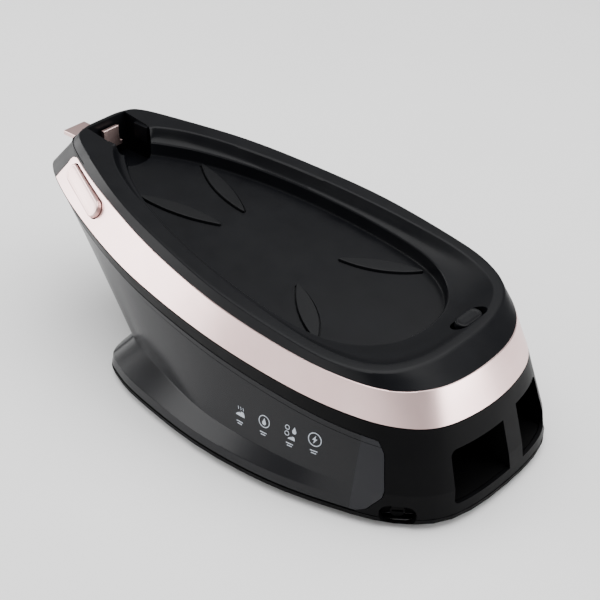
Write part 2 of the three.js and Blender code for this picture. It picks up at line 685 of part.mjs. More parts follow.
// Vibration pump: body with its two ports, and the coil round it
const pumpBody = () => joined(
  barrel(PUMP.x, PUMP.end, PUMP.y, PUMP.z, 10, 24),
  barrel(PUMP.x - 6, PUMP.x + 1, PUMP.y, PUMP.z, 3.2, 14),
  barrel(PUMP.end - 1, PUMP.end + 4, PUMP.y, PUMP.z, 3.2, 14),
);
const pumpCoil = () => barrel(PUMP.x + 9, PUMP.x + 31, PUMP.y, PUMP.z, 16.6, 28)
  .subtract(barrel(PUMP.x, PUMP.end, PUMP.y, PUMP.z, 10.3, 24));
const suctionHose = () => solid(hose([
  [-43.6, 0, OUTLET_HEIGHT], [-39, 0, OUTLET_HEIGHT], [-33, -26, 16], [-22, -44, 14],
  [14, -48.6, 13.5], [42, -42, 24], [50, PUMP.y - 1, PUMP.z], [PUMP.x - 6.4, PUMP.y, PUMP.z],
], 2.6, 8, 28));
const pressureHose = () => solid(hose([
  [PUMP.end + 4.4, PUMP.y, PUMP.z], [PUMP.end + 7, PUMP.y, PUMP.z], [114, -24, 44], [108, -16, 55],
  [94, -9, 57], [76, -8, 49], [66, -8, 43.4], [BOILER.x + BOILER.radius + 6.6, -8, 43],
], 2.4, 8, 24));

// Electric steam valve: brass block with its coil on top, and the pipe towards the hose gland
const steamValve = () => joined(
  block([69, 12, 14], [97, 36, 26]),
  post(83, 24, 25, 50, 9, 24),
  barrel(96, 103, 24, 20, 3.4, 14),
);
const controlBoard = () => joined(
  block([-27, 50.2, 14], [55, 51.8, 60]),
  block([-21, 46.6, 42], [-3, 50.6, 57]),
  block([42, 46.6, 22], [52, 50.6, 44]),
);
const terminalBlock = () => block([84, 39.5, 8.4], [97, 52.8, 22])
  .subtract(block([80, 42, 14], [100, 45, 30]))
  .subtract(block([80, 47.5, 14], [100, 50.5, 30]));

// Sheet under the rest that keeps its heat off the works
const heatShield = () => loft([
  wellRing("wellLedge", 9, -FLOOR_DEPTH - 6.4),
  wellRing("wellLedge", 9, -FLOOR_DEPTH - 5.6),
]).intersect(block([-84, -50, 40], [100, 50, 130]));

// Drain plug with a coin slot, its seal and the tube from the boiler's lowest point
const drainPlug = () => placed(barAlong(4.6, 3, -3.6), DRAIN_FRAME)
  .add(placed(barAlong(2.6, 6, -5.5), DRAIN_FRAME))
  .subtract(placed(new THREE.BoxGeometry(7, 1.4, 2.4).translate(0, 0, -4), DRAIN_FRAME));
const drainSeal = () => placed(barAlong(4.3, 0.2, -6.7), DRAIN_FRAME)
  .subtract(placed(barAlong(3, 6, -4), DRAIN_FRAME));
const drainTube = () => solid(hose([
  [BOILER.x - 1, 0, 10.4], [BOILER.x + 6, -1, 10.4], [60, -14, 10.2], [110, -30, 10.2], [138, -50, 10.2],
  [149, -57.2, 10.4], [153.2, -59.6, 10.4],
], 1.6, 6, 24)).add(post(BOILER.x, 0, 10, 12.1, 1.6, 12));

const shell = outerShell();
const PARTS = {
  top_tray: [topTray(), "black"],
  rest_pad: [restPads(), "silicone"],
  trim_band: [trimBand(), "roseGold"],
  carry_lock_slider: [carryLockSlider(), "roseGoldButton"],
  heel_catch: [heelCatch(), "blackGloss"],
  heel_catch_spring: [catchSpring(), "steel"],
  release_button: [releaseButton(), "roseGoldButton"],
  button_spring: [buttonSpring(), "steel"],
  tank_latch: [tankLatch(), "white"],
  water_tank: [waterTank(), "smoked"],
  tank_lid: [tankLid(), "smoked"],
  tank_filler_cap: [fillerCap(), "rubber"],
  tank_outlet_valve: [outletValve(), "silicone"],
  dock_seal: [dockSeal(), "silicone"],
  dock_spigot: [dockSpigot(), "white"],
  housing_deck: [shell.deck, "black"],
  rear_housing: [shell.rear, "black"],
  base_pan: [basePan(), "black"],
  inner_frame: [innerFrame(), "white"],
  storage_liner: [storageLiner(), "black"],
  boiler_lower: [boilerLower(), "aluminium"],
  boiler_upper: [boilerUpper(), "aluminium"],
  boiler_gasket: [boilerGasket(), "silicone"],
  heating_element: [heatingElement(), "steel"],
  thermostat: [thermostat(), "white"],
  thermal_fuse: [thermalFuse(), "steel"],
  pump_body: [pumpBody(), "white"],
  pump_coil: [pumpCoil(), "copper"],
  suction_hose: [suctionHose(), "silicone"],
  pressure_hose: [pressureHose(), "silicone"],
  steam_valve: [steamValve(), "brass"],
  steam_hose_gland: [glandOf(HOSE_BAY, 4.2), "rubber"],
  mains_gland: [glandOf(MAINS_BAY, 3.4), "rubber"],
  control_board: [controlBoard(), "board"],
  terminal_block: [terminalBlock(), "white"],
  drain_plug: [drainPlug(), "black"],
  drain_seal: [drainSeal(), "silicone"],
  drain_tube: [drainTube(), "silicone"],
  heat_shield: [heatShield(), "aluminium"],
  foot: [FOOT_SPOTS.map(foot), "rubber"],
  base_screw: [SCREW_SPOTS.map(baseScrew), "steel"],
};

const station = new THREE.Group();
station.name = "steam_iron_station";
function addPiece(name, body, material) {
  const piece = new THREE.Mesh(geometryOf(body).translate(CENTRING, 0, 0), MATERIAL[material].clone());
  piece.name = name;
  piece.material.name = material;
  station.add(piece);
}
for (const [name, [made, material]] of Object.entries(PARTS)) {
  const copies = Array.isArray(made) ? made : [made];
  copies.forEach((body, i) => addPiece(copies.length > 1 ? `${name}_${i + 1}` : name, body, material));
}

export default station;
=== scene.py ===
"""Looks of the base station of a steam iron. Metres in Blender; the helpers below take millimetres."""
import math

import bmesh
import bpy
import numpy as np
from mathutils import Matrix, Vector


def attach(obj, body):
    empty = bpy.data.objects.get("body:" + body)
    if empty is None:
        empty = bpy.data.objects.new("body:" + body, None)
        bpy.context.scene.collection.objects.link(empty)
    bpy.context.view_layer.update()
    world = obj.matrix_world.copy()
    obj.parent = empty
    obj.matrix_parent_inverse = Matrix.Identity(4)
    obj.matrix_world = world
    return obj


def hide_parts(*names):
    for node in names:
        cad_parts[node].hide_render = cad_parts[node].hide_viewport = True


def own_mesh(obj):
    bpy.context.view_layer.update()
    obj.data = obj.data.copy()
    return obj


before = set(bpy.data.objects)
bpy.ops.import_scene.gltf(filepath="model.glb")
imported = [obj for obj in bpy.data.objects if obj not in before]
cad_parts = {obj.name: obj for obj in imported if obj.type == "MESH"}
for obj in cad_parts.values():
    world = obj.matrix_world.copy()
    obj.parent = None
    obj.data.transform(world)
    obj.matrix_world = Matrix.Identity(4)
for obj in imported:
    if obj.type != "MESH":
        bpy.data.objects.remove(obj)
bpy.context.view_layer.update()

MM = 0.001
GAP = 0.3
WALL = 2.5
CENTRING = 5.0  # the outlines below are moved by this much along x at the end
STEPS = 8  # points per span of an outline
FAR = 400.0

# ------------------------------------------------------------------ camera
AIM = Vector((-0.04035, 0.07205, 0.0))
AZIMUTH, ELEVATION, DISTANCE = math.radians(42.014), math.radians(33.933), 1.0717
SENSOR, LENS = 36, 86.4
back = Vector((
    math.cos(ELEVATION) * math.sin(AZIMUTH),
    -math.cos(ELEVATION) * math.cos(AZIMUTH),
    math.sin(ELEVATION),
))
cam_data = bpy.data.cameras.new("camera")
cam_data.sensor_width = SENSOR
cam_data.lens = LENS
camera = bpy.data.objects.new("camera", cam_data)
bpy.context.scene.collection.objects.link(camera)
camera.location = AIM + back * DISTANCE
camera.rotation_euler = (-back).to_track_quat("-Z", "Y").to_euler()
bpy.context.scene.camera = camera

# ------------------------------------------------------------------ outlines
PLANE = {
    "rim": (115.3, -0.124), "bandTop": (107.2, -0.124), "bandBottom": (85.7, -0.121),
    "strip": (76.0, -0.121), "crease": (25.0, 0.0), "foot": (8.0, 0.0),
}
HALF = {
    "rim": [(-168, 0), (-167, 17), (-160, 29), (-132, 42), (-87, 59), (-40, 70),
            (20, 79), (77, 79.5), (114, 75), (139, 60), (151, 33), (153.5, 0)],
    "bandTop": [(-173, 0), (-172, 18), (-167, 31), (-138, 45), (-92, 60), (-42, 72.5),
                (20, 81), (77, 80.5), (117, 74), (146, 61), (164, 36), (169, 0)],
    "bandBottom": [(-186, 0), (-186, 20), (-183, 37), (-147, 56), (-92, 74), (-43, 84),
                   (20, 89), (77, 86.5), (119, 79), (152, 65), (172, 42), (179, 0)],
    "strip": [(-184, 0), (-184, 19), (-180, 35), (-142, 54), (-90, 71.5), (-42, 82),
              (20, 87.5), (77, 86), (120, 79.5), (154, 66.5), (175, 43), (182, 0)],
    "crease": [(-84, 0), (-84, 20), (-83, 42), (-77, 64), (-60, 71), (-36, 79),
               (20, 92), (77, 92), (122, 85.5), (158, 74), (183, 48), (189, 0)],
    "foot": [(-93, 0), (-93, 26), (-92, 54), (-85, 78), (-68, 88), (-39, 95.5),
             (20, 102.5), (77, 100), (124, 89.5), (162, 74.5), (186, 48), (192, 0)],
    "wellMouth": [(-140, 0), (-138, 14), (-134, 22), (-116, 34), (-86, 46), (-40, 58),
                  (10, 66), (60, 70), (100, 69), (129, 58), (143, 34), (146, 0)],
    "wellLedge": [(-136, 0), (-134, 9), (-130, 15), (-104, 31), (-67, 45), (-28, 54),
                  (14, 59), (55, 60), (85, 56), (107, 43), (120, 23), (124, 0)],
}
TANK_END = [(138, 8), (146, 12), (154, 22), (154.5, 27), (150, 50), (146, 57)]


def outline(name, inset=0.0):
    """Closed smooth curve through a half outline and its mirror image, anticlockwise from above."""
    half = HALF[name]
    points = np.array([(x, -y) for x, y in half] + [(x, y) for x, y in half[-2:0:-1]], float)
    before, after = np.roll(points, 1, 0), np.roll(points, -1, 0)
    second = np.roll(points, -2, 0)
    ring = []
    for i in range(len(points)):
        p0, p1, p2, p3 = before[i], points[i], after[i], second[i]
        for k in range(STEPS):
            t = k / STEPS
            ring.append(0.5 * (2 * p1 + (p2 - p0) * t + (2 * p0 - 5 * p1 + 4 * p2 - p3) * t * t
                               + (3 * p1 - p0 - 3 * p2 + p3) * t ** 3))
    ring = np.array(ring)
    along = np.roll(ring, -1, 0) - np.roll(ring, 1, 0)
    along /= np.linalg.norm(along, axis=1, keepdims=True)
    return ring + inset * np.stack([-along[:, 1], along[:, 0]], 1)


def ring_of(name, inset=0.0, lift=0.0, plane=None):
    z0, slope = plane or PLANE[name]
    flat = outline(name, inset)
    return np.column_stack([flat, z0 + slope * flat[:, 0] + lift])


def between(a, b, t):
    return a * (1 - t) + b * t


def well_ring(name, inset, lift):
    return ring_of(name, inset, lift, PLANE["rim"])


def body_rings(inset, bottom, top):
    return [
        ring_of("foot", 0.5 + inset, bottom),
        ring_of("foot", 1.5 + inset, plane=(15.0, 0.0)),
        ring_of("crease", inset),
        ring_of("strip", inset, -top),
    ]


# ------------------------------------------------------------------ mesh helpers
def add_mesh(name, verts, faces):
    mesh = bpy.data.meshes.new(name)
    mesh.from_pydata([tuple(np.asarray(v) * MM) for v in verts], [], faces)
    obj = bpy.data.objects.new(name, mesh)
    bpy.context.scene.collection.objects.link(obj)
    return obj


def loft(name, rings):
    """A closed body through rings of equal count, from the first to the last."""
    count = len(rings[0])
    verts = np.concatenate(rings)
    faces = []
    for level in range(len(rings) - 1):
        base = level * count
        for i in range(count):
            j = (i + 1) % count
            faces.append((base + i, base + j, base + count + j, base + count + i))
    faces.append(tuple(range(count - 1, -1, -1)))
    last = (len(rings) - 1) * count
    faces.append(tuple(range(last, last + count)))
    return add_mesh(name, verts, faces)


def prism(name, points, low, high, axis):
    """A flat outline in the plane across axis, pushed out along it from low to high."""
    place = {
        "x": lambda u, v, w: (w, u, v),
        "y": lambda u, v, w: (u, w, v),
        "z": lambda u, v, w: (u, v, w),
    }[axis]
    count = len(points)
    verts = [place(u, v, low) for u, v in points] + [place(u, v, high) for u, v in points]
    faces = [(i, (i + 1) % count, count + (i + 1) % count, count + i) for i in range(count)]
    faces += [tuple(range(count - 1, -1, -1)), tuple(range(count, 2 * count))]
    obj = add_mesh(name, verts, faces)
    outward(obj)
    return obj


def outward(obj):
    bm = bmesh.new()
    bm.from_mesh(obj.data)
    bmesh.ops.recalc_face_normals(bm, faces=bm.faces)
    bm.to_mesh(obj.data)
    bm.free()


def block(name, low, high):
    x, y, z = zip(low, high)
    return prism(name, [(x[0], y[0]), (x[1], y[0]), (x[1], y[1]), (x[0], y[1])], z[0], z[1], "z")


def drop(obj):
    mesh = obj.data
    bpy.data.objects.remove(obj)
    bpy.data.meshes.remove(mesh)


def apply_modifiers(obj):
    bpy.context.view_layer.update()
    evaluated = obj.evaluated_get(bpy.context.evaluated_depsgraph_get())
    mesh = bpy.data.meshes.new_from_object(evaluated)
    old = obj.data
    obj.modifiers.clear()
    obj.data = mesh
    bpy.data.meshes.remove(old)


def boolean(obj, other, operation):
    """obj after the operation with other, which is used up."""
    modifier = obj.modifiers.new("cut", "BOOLEAN")
    modifier.operation = operation
    modifier.solver = "EXACT"
    modifier.object = other
    apply_modifiers(obj)
    drop(other)
    return obj


def cut(obj, *others):
    for other in others:
        boolean(obj, other, "DIFFERENCE")
    return obj


def add(obj, *others):
    for other in others:
        boolean(obj, other, "UNION")
    return obj


def common(obj, other):
    return boolean(obj, other, "INTERSECT")


def tidy_mesh(obj, angle=30, bevel=0.0, segments=2):
    """Welds, rounds the edges a little and shades smooth except over sharp edges."""
    bm = bmesh.new()
    bm.from_mesh(obj.data)
    bmesh.ops.remove_doubles(bm, verts=bm.verts, dist=2e-6)
    bmesh.ops.dissolve_degenerate(bm, dist=2e-6, edges=bm.edges)
    bm.to_mesh(obj.data)
    bm.free()
    if bevel:
        modifier = obj.modifiers.new("bevel", "BEVEL")
        modifier.width = bevel * MM
        modifier.segments = segments
        modifier.limit_method = "ANGLE"
        modifier.angle_limit = math.radians(angle)
        modifier.use_clamp_overlap = True
        modifier.miter_outer = "MITER_ARC"
        apply_modifiers(obj)
    for polygon in obj.data.polygons:
        polygon.use_smooth = True
    obj.data.set_sharp_from_angle(angle=math.radians(angle))
    weighted = obj.modifiers.new("normals", "WEIGHTED_NORMAL")
    weighted.keep_sharp = True
    weighted.weight = 100
    apply_modifiers(obj)
    return obj


def arc(cx, cy, radius, start, end, count=8, ry=None):
    ry = radius if ry is None else ry
    turns = np.radians(np.linspace(start, end, count))
    return [(cx + radius * math.cos(t), cy + ry * math.sin(t)) for t in turns]


def pill(length, width, count=12):
    reach = (length - width) / 2
    return arc(reach, 0, width / 2, -90, 90, count) + arc(-reach, 0, width / 2, 90, 270, count)


def frame_at(at, out, along):
    z = Vector(out).normalized()
    x = Vector(along)
    x = (x - z * x.dot(z)).normalized()
    y = z.cross(x)
    matrix = Matrix((x, y, z)).transposed().to_4x4()
    matrix.translation = Vector(at) * MM
    return matrix


def stand(obj, matrix):
    obj.data.transform(matrix)
    return obj


def finish_piece(obj, body, slot, material, *nodes):
    obj.data.transform(Matrix.Translation((CENTRING * MM, 0, 0)))
    obj.data.materials.clear()
    obj.data.materials.append(material)
    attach(obj, body)
    if nodes:
        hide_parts(*nodes)
    return obj


# ------------------------------------------------------------------ materials
class Nodes:
    def __init__(self, name):
        self.material = bpy.data.materials.new(name)
        self.material.use_nodes = True
        self.tree = self.material.node_tree
        self.shader = self.tree.nodes["Principled BSDF"]
        self.place = self.tree.nodes.new("ShaderNodeTexCoord").outputs["Object"]

    def noise(self, scale, detail):
        node = self.tree.nodes.new("ShaderNodeTexNoise")
        node.inputs["Scale"].default_value = scale
        node.inputs["Detail"].default_value = detail
        node.inputs["Roughness"].default_value = 0.55
        self.tree.links.new(self.place, node.inputs["Vector"])
        return node.outputs["Fac"]

    def span(self, value, low, high, to_low, to_high):
        node = self.tree.nodes.new("ShaderNodeMapRange")
        for key, number in zip(("From Min", "From Max", "To Min", "To Max"), (low, high, to_low, to_high)):
            node.inputs[key].default_value = number
        self.tree.links.new(value, node.inputs["Value"])
        return node.outputs["Result"]

    def colour(self, value, low, high):
        node = self.tree.nodes.new("ShaderNodeMix")
        node.data_type = "RGBA"
        self.tree.links.new(value, node.inputs["Factor"])
        node.inputs[6].default_value = (*low, 1)
        node.inputs[7].default_value = (*high, 1)
        self.tree.links.new(node.outputs[2], self.shader.inputs["Base Color"])

    def rough(self, value):
        self.tree.links.new(value, self.shader.inputs["Roughness"])

    def bump(self, value, distance, strength=1.0):
        node = self.tree.nodes.new("ShaderNodeBump")
        node.inputs["Strength"].default_value = strength
        node.inputs["Distance"].default_value = distance
        self.tree.links.new(value, node.inputs["Height"])
        self.tree.links.new(node.outputs["Normal"], self.shader.inputs["Normal"])

    def set(self, **values):
        for key, number in values.items():
            self.shader.inputs[key.replace("_", " ")].default_value = number
        return self


def moulded(name, low, high, rough_low, rough_high, grain=2600.0, depth=0.00002, **more):
    """Moulded plastic: fine spark-eroded grain, a slight change of tone and of gloss."""
    m = Nodes(name)
    broad = m.noise(22.0, 3.0)
    m.colour(m.span(broad, 0.35, 0.65, 0.0, 1.0), low, high)
    m.rough(m.span(m.noise(60.0, 5.0), 0.3, 0.7, rough_low, rough_high))
    m.bump(m.noise(grain, 2.0), depth, 0.35)
    m.set(**more)
    return m.material


def metallic(name, low, high, rough_low, rough_high):
    """Satin metal: a broad slight change of tone and gloss over a smooth face."""
    m = Nodes(name)
    m.colour(m.span(m.noise(40.0, 3.0), 0.35, 0.65, 0.0, 1.0), low, high)
    m.rough(m.span(m.noise(9.0, 1.0), 0.3, 0.7, rough_low, rough_high))
    m.bump(m.noise(240.0, 1.0), 0.000005, 0.15)
    m.set(Metallic=1.0)
    return m.material


MAT = {
    "tray": moulded("tray_satin_black", (0.0026, 0.0028, 0.0037), (0.0033, 0.0036, 0.0047), 0.3, 0.4,
                    Specular_IOR_Level=0.13),
    "housing": moulded("housing_satin_black", (0.0016, 0.0016, 0.0019), (0.0024, 0.0024, 0.0028), 0.34, 0.46,
                       Specular_IOR_Level=0.06),
    # painted shade: a darker copy of the black plastic for parts in recesses, inside the body and underneath,
    # where shade falls
    "painted_shade_inside": moulded("inside_painted_shade", (0.0012, 0.0012, 0.0013), (0.002, 0.002, 0.0022), 0.5, 0.65,
                      Specular_IOR_Level=0.06),
    "gold": metallic("rose_gold_satin", (0.87, 0.63, 0.61), (0.91, 0.67, 0.65), 0.26, 0.33),
    "gold_button": metallic("rose_gold_button", (0.83, 0.59, 0.56), (0.88, 0.64, 0.61), 0.28, 0.35),
    "silicone": moulded("pad_silicone", (0.0034, 0.0036, 0.0044), (0.0042, 0.0045, 0.0054), 0.36, 0.46,
                        Specular_IOR_Level=0.15),
    "rubber": moulded("rubber_black", (0.010, 0.010, 0.010), (0.016, 0.016, 0.016), 0.65, 0.8,
                      grain=1500.0, depth=0.00005),
    "white": moulded("moulded_white", (0.62, 0.62, 0.6), (0.7, 0.7, 0.68), 0.35, 0.5),
    "board": moulded("board_green", (0.01, 0.08, 0.03), (0.015, 0.11, 0.04), 0.3, 0.4),
    "steel": metallic("spring_steel", (0.52, 0.53, 0.54), (0.6, 0.61, 0.62), 0.25, 0.35),
    "aluminium": metallic("cast_aluminium", (0.6, 0.61, 0.63), (0.7, 0.71, 0.73), 0.38, 0.52),
    "brass": metallic("machined_brass", (0.62, 0.44, 0.2), (0.72, 0.53, 0.26), 0.25, 0.38),
    "copper": metallic("enamelled_copper", (0.5, 0.2, 0.08), (0.6, 0.26, 0.12), 0.25, 0.4),
}


SEE_THROUGH_LINE = 0.141  # x in metres of the line near the tank's rear edge; behind it the tank is painted lighter, painted light for light showing through the thin plastic there


def smoked():
    """Dark see-through plastic; behind the rear edge line it is painted a little lighter, painted light for
    light showing through the thin plastic there.
    """
    m = Nodes("smoked_clear_plastic")
    split = m.tree.nodes.new("ShaderNodeSeparateXYZ")
    m.tree.links.new(m.place, split.inputs[0])
    # painted light: the lighter colour behind the line stands for light showing through the thin plastic
    behind = m.span(split.outputs["X"], SEE_THROUGH_LINE - 0.0005, SEE_THROUGH_LINE + 0.0005, 0.0, 1.0)
    m.colour(behind, (0.0085, 0.0088, 0.0104), (0.0155, 0.016, 0.0192))
    m.rough(m.span(m.noise(12.0, 2.0), 0.3, 0.7, 0.2, 0.26))
    m.bump(m.noise(8.0, 1.0), 0.00004, 0.1)
    m.set(Transmission_Weight=0.15, IOR=1.49, Specular_IOR_Level=0.16)
    return m.material


MAT["smoked"] = smoked()


def printed():
    m = Nodes("printed_pale_grey")
    m.colour(m.span(m.noise(400.0, 2.0), 0.3, 0.7, 0.0, 1.0), (0.42, 0.46, 0.52), (0.5, 0.54, 0.6))
    m.rough(m.span(m.noise(90.0, 2.0), 0.3, 0.7, 0.45, 0.6))
    m.bump(m.noise(2500.0, 2.0), 0.00001, 0.3)
    return m.material


MAT["print"] = printed()

# ------------------------------------------------------------------ places of the small parts
BUTTON = frame_at((-129.2, -54.1, 114.8), (-0.256, -0.805, 0.536), (0.914, -0.382, -0.138))
CATCH_POST = (139.5, 22)
CATCH = frame_at((*CATCH_POST, 95.5), (0.123, 0, 0.992), (0, 1, 0))
DRAIN = frame_at((162.5, -71.5, 10.4), (0.62, -0.785, 0), (-0.785, -0.62, 0))
TAB_BOTTOM, TAB_TOP, TAB_HALF = 115.0, 118.5, 9.8  # carry lock tab
SLOT_PLAY = 0.4
FILLER_X, FILLER_LEVEL, FILLER_RADIUS, DISH = -110.0, 80.5, 12.7, 20.0
HOOK_X, HOOK_Y, HOOK_TIP = -127.0, -45.5, 86.2

# ------------------------------------------------------------------ top tray
RIM_HEIGHT, RIM_SLOPE = PLANE["rim"]
WELL_DEPTH = 17.0
POCKET_FRONT, POCKET_BACK, POCKET_HALF = -165.0, -129.0, 17.5
POCKET_BOTTOM = RIM_HEIGHT - RIM_SLOPE * 150 - 28.0
FLOOR_START = -138.5  # the well floor begins here, behind the pocket


def pocket_outline(grow=0.0, rounding=14.0):
    back_arc = arc(POCKET_BACK - rounding, 0, rounding + grow, -90, 90, 20, POCKET_HALF + grow)
    front, half = POCKET_FRONT - grow, POCKET_HALF + grow
    return [(front, -half)] + back_arc + [(front, half)]


def below(plane, lift=0.0):
    z0, slope = plane
    edge = [(-FAR, z0 - slope * FAR + lift), (FAR, z0 + slope * FAR + lift)]
    return prism("below", [(-FAR, -FAR), (FAR, -FAR), edge[1], edge[0]], -FAR, FAR, "y")


END_TOP, END_BOTTOM = (-155.0, 126.5), (-171.0, 105.5)
END_CORNER = [(-159.0, 122.4), (-156.6, 124.5), (-152.6, 125.7), (-147.0, 126.0)]


def end_line(shift):
    """Region ahead of the band's end line, its upper corner rounded off."""
    slope = (END_TOP[0] - END_BOTTOM[0]) / (END_TOP[1] - END_BOTTOM[1])

    def on_line(z):
        return END_BOTTOM[0] + (z - END_BOTTOM[1]) * slope + shift, z

    corner = [(x + shift, z) for x, z in END_CORNER]
    points = [(-FAR, 0), on_line(0), on_line(119.5), *corner, (-140, 126.6), (-140, FAR), (-FAR, FAR)]
    return prism("end", points, -FAR, FAR, "y")


LEAF_FRONT = ((-99.5, 29.5), (-42.0, 11.5), 10.5)
LEAF_REAR = ((36.0, 20.5), (80.0, 52.0), 11.0)
LEAVES = [(LEAF_FRONT, -1), (LEAF_FRONT, 1), (LEAF_REAR, -1), (LEAF_REAR, 1)]
TO_FLOOR = Matrix((
    (1, 0, 0, 0), (0, 1, 0, 0), (RIM_SLOPE, 0, 1, (RIM_HEIGHT - WELL_DEPTH) * MM), (0, 0, 0, 1),
))


def leaf(which, side, grow):
    """Outline of one leaf-shaped pad: two bowed sides between blunt tips."""
    (x0, y0), (x1, y1), belly = which
    length = math.hypot(x1 - x0, y1 - y0)
    blunt = 0.9 + grow
    turns = np.linspace(0.0, 1.0, 17)
    low = [(length * t, -belly * 2 * t * (1 - t) - blunt) for t in turns]
    high = [(length * t, belly * 1.6 * t * (1 - t) + blunt) for t in turns[::-1]]
    heading = math.atan2(y1 - y0, x1 - x0)
    ring = low + [(length + blunt * 0.8, 0)] + high + [(-blunt * 0.8, 0)]
    turned = [(x0 + x * math.cos(heading) - y * math.sin(heading),
               y0 + x * math.sin(heading) + y * math.cos(heading)) for x, y in ring]
    return [(x, side * y) for x, y in turned][::side]


def floor_prism(name, ring, low, high):
    return stand(prism(name, ring, low, high, "z"), TO_FLOOR)


def tray():
    top, low = ring_of("rim"), ring_of("bandTop", 0, GAP)
    outer = [
        ring_of("bandTop", 3.0, GAP + 0.1),
        ring_of("bandTop", 0.4, GAP),
        between(low, top, 0.03),
        between(low, top, 0.5),
        between(low, top, 0.92),
        ring_of("rim", 0.35, -0.25),
        ring_of("rim", 1.0, -0.02),
        ring_of("rim", 2.4),
        well_ring("wellMouth", -1.6, 0),
        well_ring("wellMouth", -0.6, -0.2),
        well_ring("wellMouth", 0.3, -0.8),
        between(well_ring("wellMouth", 0.4, -3.2), well_ring("wellLedge", -1.5, -3.2), 0.2),
        between(well_ring("wellMouth", 0.4, -5.6), well_ring("wellLedge", -1.5, -5.6), 0.45),
        between(well_ring("wellMouth", 0.4, -7.1), well_ring("wellLedge", -1.5, -7.1), 0.7),
        well_ring("wellLedge", -1.5, -7.9),
        well_ring("wellLedge", -0.5, -7.9),
        well_ring("wellLedge", 0.1, -8.5),
        well_ring("wellLedge", 1.1, -15.8),
        well_ring("wellLedge", 1.8, -16.8),
        well_ring("wellLedge", 3.0, -WELL_DEPTH),
    ]
    under = [
        well_ring("wellLedge", 0, -WELL_DEPTH - WALL),
        well_ring("wellLedge", -WALL, -10),
        well_ring("wellMouth", -1.0, -8.6),
        well_ring("wellMouth", -1.4, -3.6),
        ring_of("rim", 3.6, -WALL),
        ring_of("bandTop", 5.4, GAP),
    ]
    shell = ring_shell("top_tray_shell", outer, under)
    nose = loft("nose", [ring_of("bandBottom", 0.15, GAP), ring_of("bandBottom", 0, GAP + 0.6),
                         ring_of("bandTop", 0, -0.4), ring_of("bandTop", 0.6, 2)])
    nose = common(nose, end_line(-0.2))
    hollow = loft("nose_hollow", [
        ring_of("bandBottom", 3, -2), ring_of("bandBottom", 3), ring_of("bandTop", 5, 3),
    ])
    nose = cut(nose, hollow)
    tub = prism("tub", pocket_outline(WALL), POCKET_BOTTOM - WALL, FAR, "z")
    tub = common(tub, below(PLANE["rim"], -1.0))
    level = RIM_HEIGHT - WELL_DEPTH - 0.4
    over_floor = [(x, level + RIM_SLOPE * x) for x in (FLOOR_START, FAR)] + [(FAR, FAR), (FLOOR_START, FAR)]
    tub = cut(tub, prism("over_floor", over_floor, -FAR, FAR, "y"),
              prism("pocket", pocket_outline(), POCKET_BOTTOM, FAR, "z"))
    shell = add(shell, nose)
    shell = cut(shell, prism("pocket", pocket_outline(0.02), POCKET_BOTTOM - 1, FAR, "z"))
    shell = add(shell, tub)
    near_lug = block("lug", (-146, -18.5, POCKET_BOTTOM + 14), (-139, -14.5, 131.0))
    far_lug = block("lug", (-153, 15, POCKET_BOTTOM + 14), (-140, 18.5, 132.0))
    shell = add(shell, near_lug, far_lug)
    slot_half = TAB_HALF + SLOT_PLAY
    shell = cut(shell, block("slot", (-200, -slot_half, TAB_BOTTOM - SLOT_PLAY),
                             (-164, slot_half, TAB_TOP + SLOT_PLAY)))
    seat = stand(prism("seat", pill(29.4, 11.8), -8, 20, "z"), CATCH)
    shell = cut(shell, seat)
    for which, side in LEAVES:
        shell = cut(shell, floor_prism("groove", leaf(which, side, 0.9), -1.0, 4.0))
    return tidy_mesh(shell, 32, 0.3)


def ring_shell(name, outer, under):
    """A dished body: its upper side through outer from edge to floor, its underside back through under."""
    count = len(outer[0])
    rings = outer + under
    verts = np.concatenate(rings)
    faces = []

    def strip(a, b):
        for i in range(count):
            j = (i + 1) % count
            faces.append((a * count + i, a * count + j, b * count + j, b * count + i))

    for level in range(len(outer) - 1):
        strip(level, level + 1)
    first_under = len(outer)
    for level in range(first_under, len(rings) - 1):
        strip(level, level + 1)
    strip(len(rings) - 1, 0)
    floor_ring, base_ring = (len(outer) - 1) * count, first_under * count
    middle = len(verts)
    verts = np.concatenate([verts, [outer[-1].mean(0), under[0].mean(0)]])
    for i in range(count):
        j = (i + 1) % count
        faces.append((floor_ring + i, floor_ring + j, middle))
        faces.append((base_ring + j, base_ring + i, middle + 1))
    obj = add_mesh(name, verts, faces)
    outward(obj)
    return obj


top_tray = tray()
top_tray.name = "iron_rest_tray"
finish_piece(top_tray, "station", "black", MAT["tray"], "top_tray")


def rest_pad(which, side, name):
    flats = [(0.0, -0.7), (0.0, 1.0), (-0.25, 1.5), (-0.8, 1.7)]
    rings = [np.array([(x, y, height) for x, y in leaf(which, side, grow)]) for grow, height in flats]
    pad = loft(name, rings)
    outward(pad)
    return tidy_mesh(stand(pad, TO_FLOOR), 40)


for number, (which, side) in enumerate(LEAVES, 1):
    pad = rest_pad(which, side, f"leaf_pad_{number}")
    finish_piece(pad, "station", "silicone", MAT["silicone"], f"rest_pad_{number}")

# ------------------------------------------------------------------ band and release button
BUTTON_PROFILE = [
    (0.0, -2.9), (0.0, 0.9), (0.25, 1.5), (0.8, 1.85), (1.4, 1.9), (2.1, 1.65), (3.0, 1.4), (5.0, 1.35),
]
CATCH_PROFILE = [(0, -4), (0, -0.6), (0.25, 0.0), (0.9, 0.35), (1.6, 0.4), (2.3, 0.25), (3.2, 0.1)]


